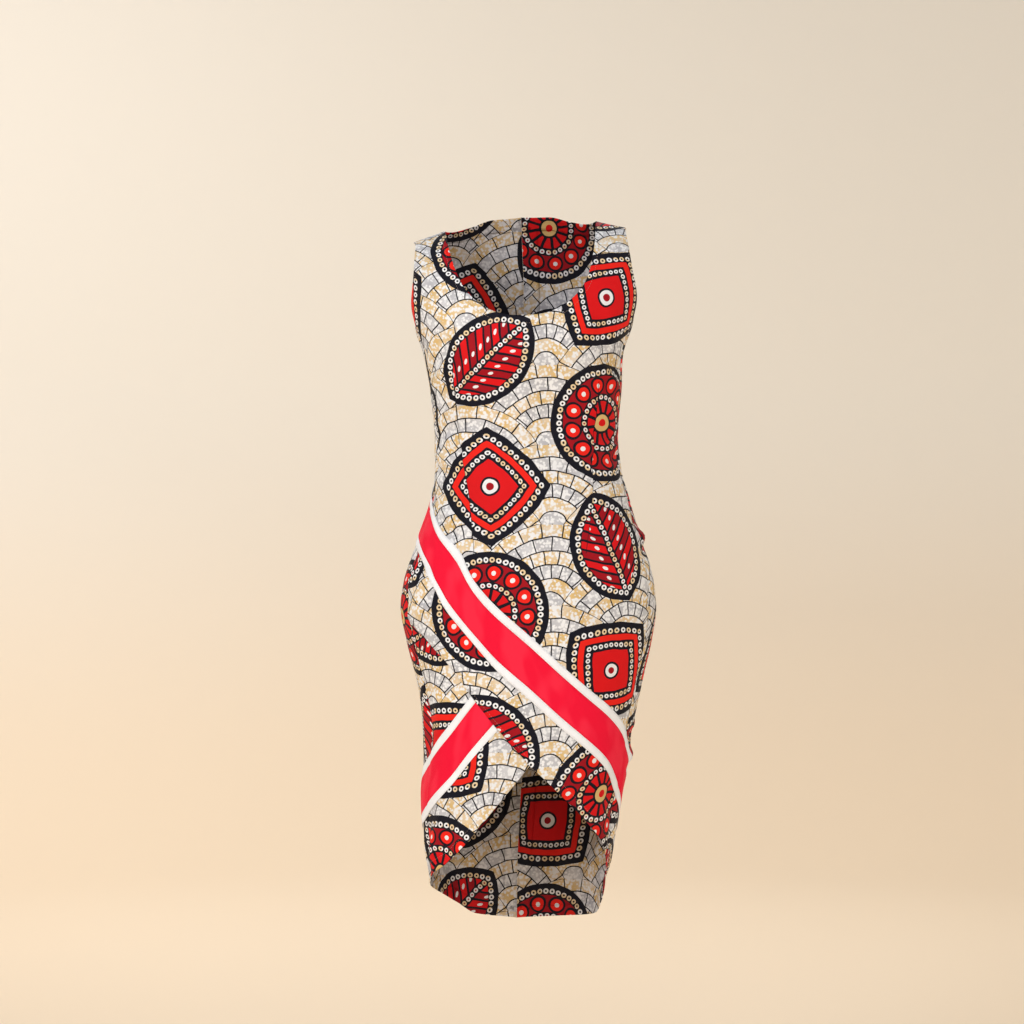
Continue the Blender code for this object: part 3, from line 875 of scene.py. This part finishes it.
def printColour(paint):
    x, y, where = paint.clothPlace()
    groove = 0.0
    for dart in darts:
        x, y, sewn = sewDart(paint, x, y, dart)
        groove = sewn + groove
    sockets = {"Vector": where, "Scale": wax["waverScale"], "Detail": 1.0}
    waver = paint.node("TexNoise", {"noise_dimensions": "2D"}, sockets)
    swayX, swayY, spread = paint.channels(waver.outputs["Color"])
    x, y = x + (swayX - 0.5) * wax["waver"], y + (swayY - 0.5) * wax["waver"]
    column = (x / motifs["acrossPitch"]).whole()
    dropped = y + (column % 2) * (motifs["upPitch"] / 2)
    row = (dropped / motifs["upPitch"]).whole()
    cell = paint.node("CombineXYZ", {}, {0: column, 1: row, 2: motifs["seed"]})
    chance = paint.node("TexWhiteNoise", {"noise_dimensions": "3D"}, {"Vector": cell.outputs[0]})
    turn, shiftX, shiftY = paint.channels(chance.outputs["Color"])
    localX = x - (column + 0.5) * motifs["acrossPitch"] + (shiftX - 0.5) * motifs["jitter"]
    localY = dropped - (row + 0.5) * motifs["upPitch"] + (shiftY - 0.5) * motifs["jitter"]
    cosine, sine = (turn * (2 * math.pi)).calc("COSINE"), (turn * (2 * math.pi)).calc("SINE")
    turnedX = localX * cosine + localY * sine
    turnedY = localY * cosine - localX * sine
    kind = (column - row + ((column + 1) / 2).whole()) % 3
    warmth = (spread + paint.noise(where, wax["warmScale"])).ramp(1.00, 1.08)
    dotColour = paint.mix(warmth, dye["white"], dye["paleOchre"])
    colour = paintGround(paint, x, y, where)
    for number, draw in enumerate((paintMedallion, paintLeafPod, paintLozenge)):
        motif = Motif(paint, dotColour)
        inside = draw(motif, turnedX, turnedY)
        colour = paint.mix(inside * (abs(kind - number) < 0.5), colour, motif.colour)
    # Painted shade: a dark line in the print's ink colour along each dart's sewn seam, where its
    # fold falls in shade
    dartShadeLine = (groove > (1 - dartCloth["line"] / dartCloth["groove"])) * dartCloth["shadeLineShare"]
    return paint.mix(dartShadeLine, colour, dye["ink"]), groove


def printMaterial(name, shade):
    paint = Paint(name)
    colour, groove = printColour(paint)
    where = paint.clothPlace()[2]
    faded = paint.noise(where, wax["fadeScale"], 2.0).ramp(0.35, 0.70)
    tone = paint.mix(faded, shade, tuple(wax["faded"] * level for level in shade))
    return finishCotton(paint, paint.mix(1.0, colour, tone, "MULTIPLY"), groove)


def plainMaterial(name, colour, shade, scale):
    paint = Paint(name)
    share = paint.noise(paint.clothPlace()[2], scale, 1.0).ramp(0.38, 0.62)
    return finishCotton(paint, paint.mix(share, colour, shade))


waxPrint = printMaterial("waxPrint", (1.0, 1.0, 1.0))
# The wrong side: a little duller, and darkened further as painted shade for the inside of the
# hollow dress
waxPrintInsideDullAndShaded = printMaterial("waxPrintInsideDullAndShaded", (0.70, 0.68, 0.68))
# The band's mottle between a pinker and a deeper crimson: partly random tone, partly painted shade
# for the band's soft folds
crimsonCotton = plainMaterial("crimsonCotton", (0.93, 0.018, 0.056), (0.88, 0.003, 0.036), 24.0)
whiteCotton = plainMaterial("whiteCotton", (0.93, 0.94, 0.97), (0.89, 0.90, 0.93), 30.0)
threads = {
    name: plainMaterial(name, colour, shade, 200.0)
    for name, colour, shade in (
        ("whiteThread", (0.84, 0.83, 0.81), (0.78, 0.77, 0.76)),
        ("crimsonThread", (0.72, 0.010, 0.030), (0.62, 0.006, 0.024)),
        ("sandThread", (0.34, 0.25, 0.20), (0.28, 0.20, 0.16)),
    )
}
print("cloth dyed and printed")

for name, panel in panels.items():

    def printPlace(across, height, panel=panel):
        u, v = clothLength(across, height, panel["origin"])
        return u + panel["shift"][0], v + panel["shift"][1]

    flat = outlineFace(panel["outline"], panel["inside"])
    cutCells(flat, sheet["cell"])
    piece = wearPiece(
        name, flat, panelCloth["out"], panel["lapped"], panelCloth["thickness"],
        (waxPrint, waxPrintInsideDullAndShaded), printPlace,
    )
    flat = outlineFace(panel["outline"], panel["inside"])
    middle = flat.faces[0]
    bmesh.ops.inset_region(
        flat, faces=[middle], thickness=panelCloth["turningWidth"],
        use_boundary=True, use_even_offset=True,
    )
    bmesh.ops.delete(flat, geom=[middle], context="FACES")
    cutCells(flat, sheet["cell"])
    tuckInside(flat, flatPoints(panel["outline"], panel["inside"]))
    turning = wearPiece(
        name + "TurnedEdges", flat, panelCloth["turningOut"], panel["lapped"],
        panelCloth["turningThickness"], (waxPrintInsideDullAndShaded,), printPlace,
    )
    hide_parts(panel["node"])
    print(name, "worn,", len(piece.data.polygons), "faces")

# Bands: the outer edges of each, round from the centre back on the left
bands = {
    "longBand": table(
        "angle upper lower",
        (-180, -0.300, -0.361),
        (-150, -0.312, -0.373),
        (-120, -0.334, -0.396),
        (-90, -0.366, -0.438),
        (-70, -0.390, -0.452),
        (-50, -0.424, -0.488),
        (-35, -0.452, -0.543),
        (-25, -0.492, -0.582),
        (-15, -0.525, -0.619),
        (0, -0.568, -0.657),
        (15, -0.609, -0.692),
        (30, -0.643, -0.722),
        (45, -0.670, -0.750),
        (60, -0.697, -0.783),
        (75, -0.735, -0.818),
        (90, -0.768, -0.843),
        (120, -0.811, -0.878),
        (150, -0.833, -0.897),
        (180, -0.842, -0.905),
    ),
    "shortBand": table(
        "angle upper lower",
        (-180, -0.842, -0.905),
        (-150, -0.828, -0.893),
        (-120, -0.803, -0.873),
        (-90, -0.768, -0.846),
        (-75, -0.750, -0.836),
        (-60, -0.727, -0.815),
        (-45, -0.694, -0.785),
        (-30, -0.652, -0.739),
        (-10, -0.590, -0.680),
    ),
}
bandCloth = {
    "out": 0.0023, "thickness": 0.0006, "whiteShare": 0.17, "step": 1.2,
    "longBand": 1.06, "shortBand": 0.45, "cutWidth": 0.060,  # metres that each is cut to
}


def bandHeight(rows, share, angle):
    upper = read(rows, "upper", angle)
    return upper + share * (read(rows, "lower", angle) - upper)


def bandEnd(rows, share):  # the over-panel's edge, or the centre back
    if rows["angle"][-1] > 0:
        return 180.0
    angles = np.linspace(-70, -10, 1200)
    clear = bandHeight(rows, share, angles) < read(lapEdge, "height", angles) - 0.0004
    return float(angles[clear][-1])


def bandOutline(rows, start, end):
    outline = []
    for share, side in ((end, 1), (start, -1)):
        last = bandEnd(rows, share)
        angles = np.linspace(-180, last, round((last + 180) / bandCloth["step"]) + 1)
        outline += list(zip(angles, bandHeight(rows, share, angles)))[::side]
    return outline


def bandMarks(rows):  # metres along a band and across it
    angles = np.linspace(-180, 180, 721)
    heights = bandHeight(rows, 0.5, angles)
    line = wornForm(angles, heights)
    lengths = np.concatenate([[0], np.cumsum(np.linalg.norm(np.diff(line, axis=0), axis=-1))])

    def marks(across, height):
        angle = angleAt(across, height)
        upper, lower = read(rows, "upper", angle), read(rows, "lower", angle)
        down = bandCloth["cutWidth"] * (upper - height) / (upper - lower)
        return np.interp(angle, angles, lengths), down

    return marks


for name, rows in bands.items():
    lapped = int(name == "longBand")
    white = bandCloth["whiteShare"]
    node = "long_band" if lapped else "short_band"
    for part, suffix, start, end, material, slot in (
        ("UpperEdge", "_upper_edge", 0.0, white, whiteCotton, "white_edging"),
        ("", "", white, 1 - white, crimsonCotton, "crimson_band"),
        ("LowerEdge", "_lower_edge", 1 - white, 1.0, whiteCotton, "white_edging"),
    ):
        flat = outlineFace(bandOutline(rows, start, end), False)
        cutCells(flat, sheet["cell"])
        piece = wearPiece(
            name + part, flat, bandCloth["out"], lapped, bandCloth["thickness"],
            (material,), bandMarks(rows),
        )
        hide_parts(node + suffix)
        width, length = bandCloth["cutWidth"] * (end - start), bandCloth[name]
        width * length
    print(name, "laid on")

# Stitching: rows of small threads, each one a stretched ball
thread = {"length": 0.0027, "gap": 0.0013, "radius": 0.00028}
insets = {  # from the edge in metres, and in degrees at a scoop's ends
    "edge": 0.0055, "hem": 0.0150, "lap": 0.0077, "band": 0.0016, "angle": 2.3,
}
sewnRows = {"printed": [], "edging": [], "bandJoin": []}


def sewRow(kind, line, out, lapped):  # line: angles and heights, out: how far the cloth's face is
    angles, heights = np.array(line, float).T
    across, heights = acrossAt(angles, heights), np.minimum(heights, -0.0004)
    low = place(across, heights, np.full_like(heights, out), lapped)
    high = place(across, heights, np.full_like(heights, out + 0.001), lapped)
    steps = np.linalg.norm(np.diff(low, axis=0), axis=-1)
    lengths = np.concatenate([[0], np.cumsum(steps)])
    count = int(lengths[-1] / (thread["length"] + thread["gap"]))
    at = (np.arange(count) + 0.5) * (lengths[-1] / count)
    half = thread["length"] / 2

    def onLine(points, reached):
        return np.stack([np.interp(reached, lengths, points[:, i]) for i in range(3)], axis=-1)

    along = onLine(low, at + half) - onLine(low, at - half)
    along /= np.linalg.norm(along, axis=-1, keepdims=True)
    outward = onLine(high, at) - onLine(low, at)
    outward /= np.linalg.norm(outward, axis=-1, keepdims=True)
    sewnRows[kind].append((onLine(low, at), along, outward, np.cross(outward, along)))


def sewThreads(name, rows, material):
    ball = bmesh.new()
    bmesh.ops.create_icosphere(ball, subdivisions=1, radius=1)
    shape = np.array([vert.co[:] for vert in ball.verts])
    faces = np.array([[vert.index for vert in face.verts] for face in ball.faces])
    ball.free()
    middle, along, outward, side = (np.concatenate(parts) for parts in zip(*rows))
    shape = shape * (thread["length"] / 2, thread["radius"], thread["radius"])
    turned = (
        middle[:, None] + shape[None, :, 0, None] * along[:, None]
        + shape[None, :, 1, None] * side[:, None] + shape[None, :, 2, None] * outward[:, None]
    )
    tiled = faces[None] + (np.arange(len(middle)) * len(shape))[:, None, None]
    mesh = bpy.data.meshes.new(name)
    mesh.from_pydata(turned.reshape(-1, 3).tolist(), [], tiled.reshape(-1, 3).tolist())
    mesh.shade_smooth()
    places = np.repeat(np.linspace(0, 4, len(tiled.reshape(-1)) // 3), 3)
    markCloth(mesh, places, places)
    mesh.materials.append(material)
    sewn = putInScene(name, mesh)
    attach(sewn, "root")
    print(name, "sewn,", len(middle), "stitches")


onPanel = panelCloth["out"] + panelCloth["thickness"] / 2
onBand = bandCloth["out"] + bandCloth["thickness"] / 2
inFrom = insets["edge"], insets["angle"]
for side in (-1, 1):
    sewRow("printed", armholeLine(side, 1, 179, 90, *inFrom), onPanel, 0)
sewRow("printed", neckLine("front", 1, 179, 90, *inFrom), onPanel, 0)
for start, end in ((1, 89), (91, 179)):
    curve = neckLine("back", start, end, 60, *inFrom)
    curve = [(angle if angle <= 180 else angle - 360, height) for angle, height in curve]
    sewRow("printed", curve, onPanel, 0)
sewRow("printed", edgeLine(leftHem, -179.5, -1.0, insets["hem"]), onPanel, 0)
sewRow("printed", edgeLine(rightHem, 6.0, 179.5, insets["hem"]), onPanel, 1)
sewRow("printed", edgeLine(lapEdge, -65.5, 0.0, insets["lap"]), onPanel, 1)
for name, rows in bands.items():
    lapped = int(name == "longBand")
    inset, white = insets["band"] / bandCloth["cutWidth"], bandCloth["whiteShare"]
    for share, kind in (
        (inset, "edging"), (white - inset, "edging"), (white + inset, "bandJoin"),
        (1 - white - inset, "bandJoin"), (1 - white + inset, "edging"), (1 - inset, "edging"),
    ):
        angles = np.linspace(-179.6, bandEnd(rows, share) - 0.6, 700)
        sewRow(kind, list(zip(angles, bandHeight(rows, share, angles))), onBand, lapped)
for name, kind, material, slot in (
    ("panelStitches", "printed", "sandThread", "printed_cotton"),
    ("edgingStitches", "edging", "whiteThread", "white_edging"),
    ("bandStitches", "bandJoin", "crimsonThread", "crimson_band"),
):
    sewThreads(name, sewnRows[kind], threads[material])

# Room: a pale floor that curves up all round, soft lamps, and the camera
# The floor's colour is painted shade: darker and warmer than the wall's
room = {
    "floor": -1.46, "radius": 5.2, "cove": 1.6, "height": 5.0,
    "floorColour": (0.95, 0.78, 0.58), "wallColour": (0.89, 0.845, 0.76), "roughness": 0.9,
    "lampColour": (0.90, 0.94, 1.0), "skyColour": (0.97, 0.98, 1.0, 1), "skyPower": 0.30,
}
onDress = (0.0, 0.0, -0.5)
lamps = {
    "keyLamp": {"at": (-2.5, -2.9, 1.4), "towards": onDress, "size": 2.0, "power": 90},
    "fillLamp": {"at": (2.7, -2.9, 0.5), "towards": onDress, "size": 2.2, "power": 28},
    "frontLamp": {"at": (0.2, -3.9, 0.9), "towards": onDress, "size": 1.8, "power": 20},
    "backLamp": {"at": (0.8, 2.8, 1.8), "towards": onDress, "size": 2.4, "power": 38},
    "wallLamp": {
        "at": (-1.6, 2.0, 1.6), "towards": (-1.5, 5.2, -0.3), "size": 1.6, "power": 40,
        "colour": (0.97, 0.96, 0.98),
    },
}
view = {"at": (-0.0114, -3.4, -0.397), "lens": 83.67}


def makeRoom():
    profile = bmesh.new()
    flatEnd, top = room["radius"] - room["cove"], room["floor"] + room["height"]
    line = [(0.0, room["floor"])]
    for step in range(13):
        turn = math.radians(90 * step / 12)
        x = flatEnd + room["cove"] * math.sin(turn)
        line.append((x, room["floor"] + room["cove"] * (1 - math.cos(turn))))
    line.append((room["radius"], top))
    verts = [profile.verts.new((x, 0, z)) for x, z in line]
    edges = [profile.edges.new(pair) for pair in zip(verts, verts[1:])]
    bmesh.ops.spin(
        profile, geom=verts + edges, cent=(0, 0, 0), axis=(0, 0, 1),
        angle=2 * math.pi, steps=96, use_merge=True,
    )
    bmesh.ops.remove_doubles(profile, verts=profile.verts, dist=0.0005)
    bmesh.ops.recalc_face_normals(profile, faces=profile.faces)
    bmesh.ops.reverse_faces(profile, faces=profile.faces)
    mesh = bpy.data.meshes.new("paleFloor")
    profile.to_mesh(mesh)
    profile.free()
    mesh.shade_smooth()
    paint = Paint("palePaper")
    where = paint.node("TexCoord", {}, {}).outputs["Object"]
    above = Value(paint, paint.node("SeparateXYZ", {}, {0: where}).outputs[2])
    # Painted shade: the paper turns darker and warmer from the wall down to the floor
    up = above.ramp(room["floor"], room["floor"] + room["cove"])
    colour = paint.mix(up, room["floorColour"], room["wallColour"])
    paint.feed(paint.surface.inputs["Base Color"], colour)
    paint.surface.inputs["Roughness"].default_value = room["roughness"]
    mesh.materials.append(paint.material)
    putInScene("paleFloor", mesh)


def makeLamps():
    for name, lamp in lamps.items():
        data = bpy.data.lights.new(name, "AREA")
        data.shape = "DISK"
        data.size = lamp["size"]
        data.energy = lamp["power"]
        data.color = lamp.get("colour", room["lampColour"])
        held = putInScene(name, data)
        held.location = lamp["at"]
        facing = Vector(lamp["towards"]) - held.location
        held.rotation_euler = facing.to_track_quat("-Z", "Y").to_euler()
        held.visible_camera = False
    world = bpy.data.worlds.new("softSky")
    world.use_nodes = True
    sky = world.node_tree.nodes["Background"]
    sky.inputs["Color"].default_value = room["skyColour"]
    sky.inputs["Strength"].default_value = room["skyPower"]
    scene.world = world


def makeCamera():
    data = bpy.data.cameras.new("photoView")
    data.lens = view["lens"]
    data.sensor_width = 36
    camera = putInScene("photoView", data)
    camera.location = view["at"]
    camera.rotation_euler = (math.radians(90), 0, 0)
    scene.camera = camera


makeRoom()
makeLamps()
makeCamera()
scene.view_settings.view_transform = "Standard"
print("room, lamps and camera placed")
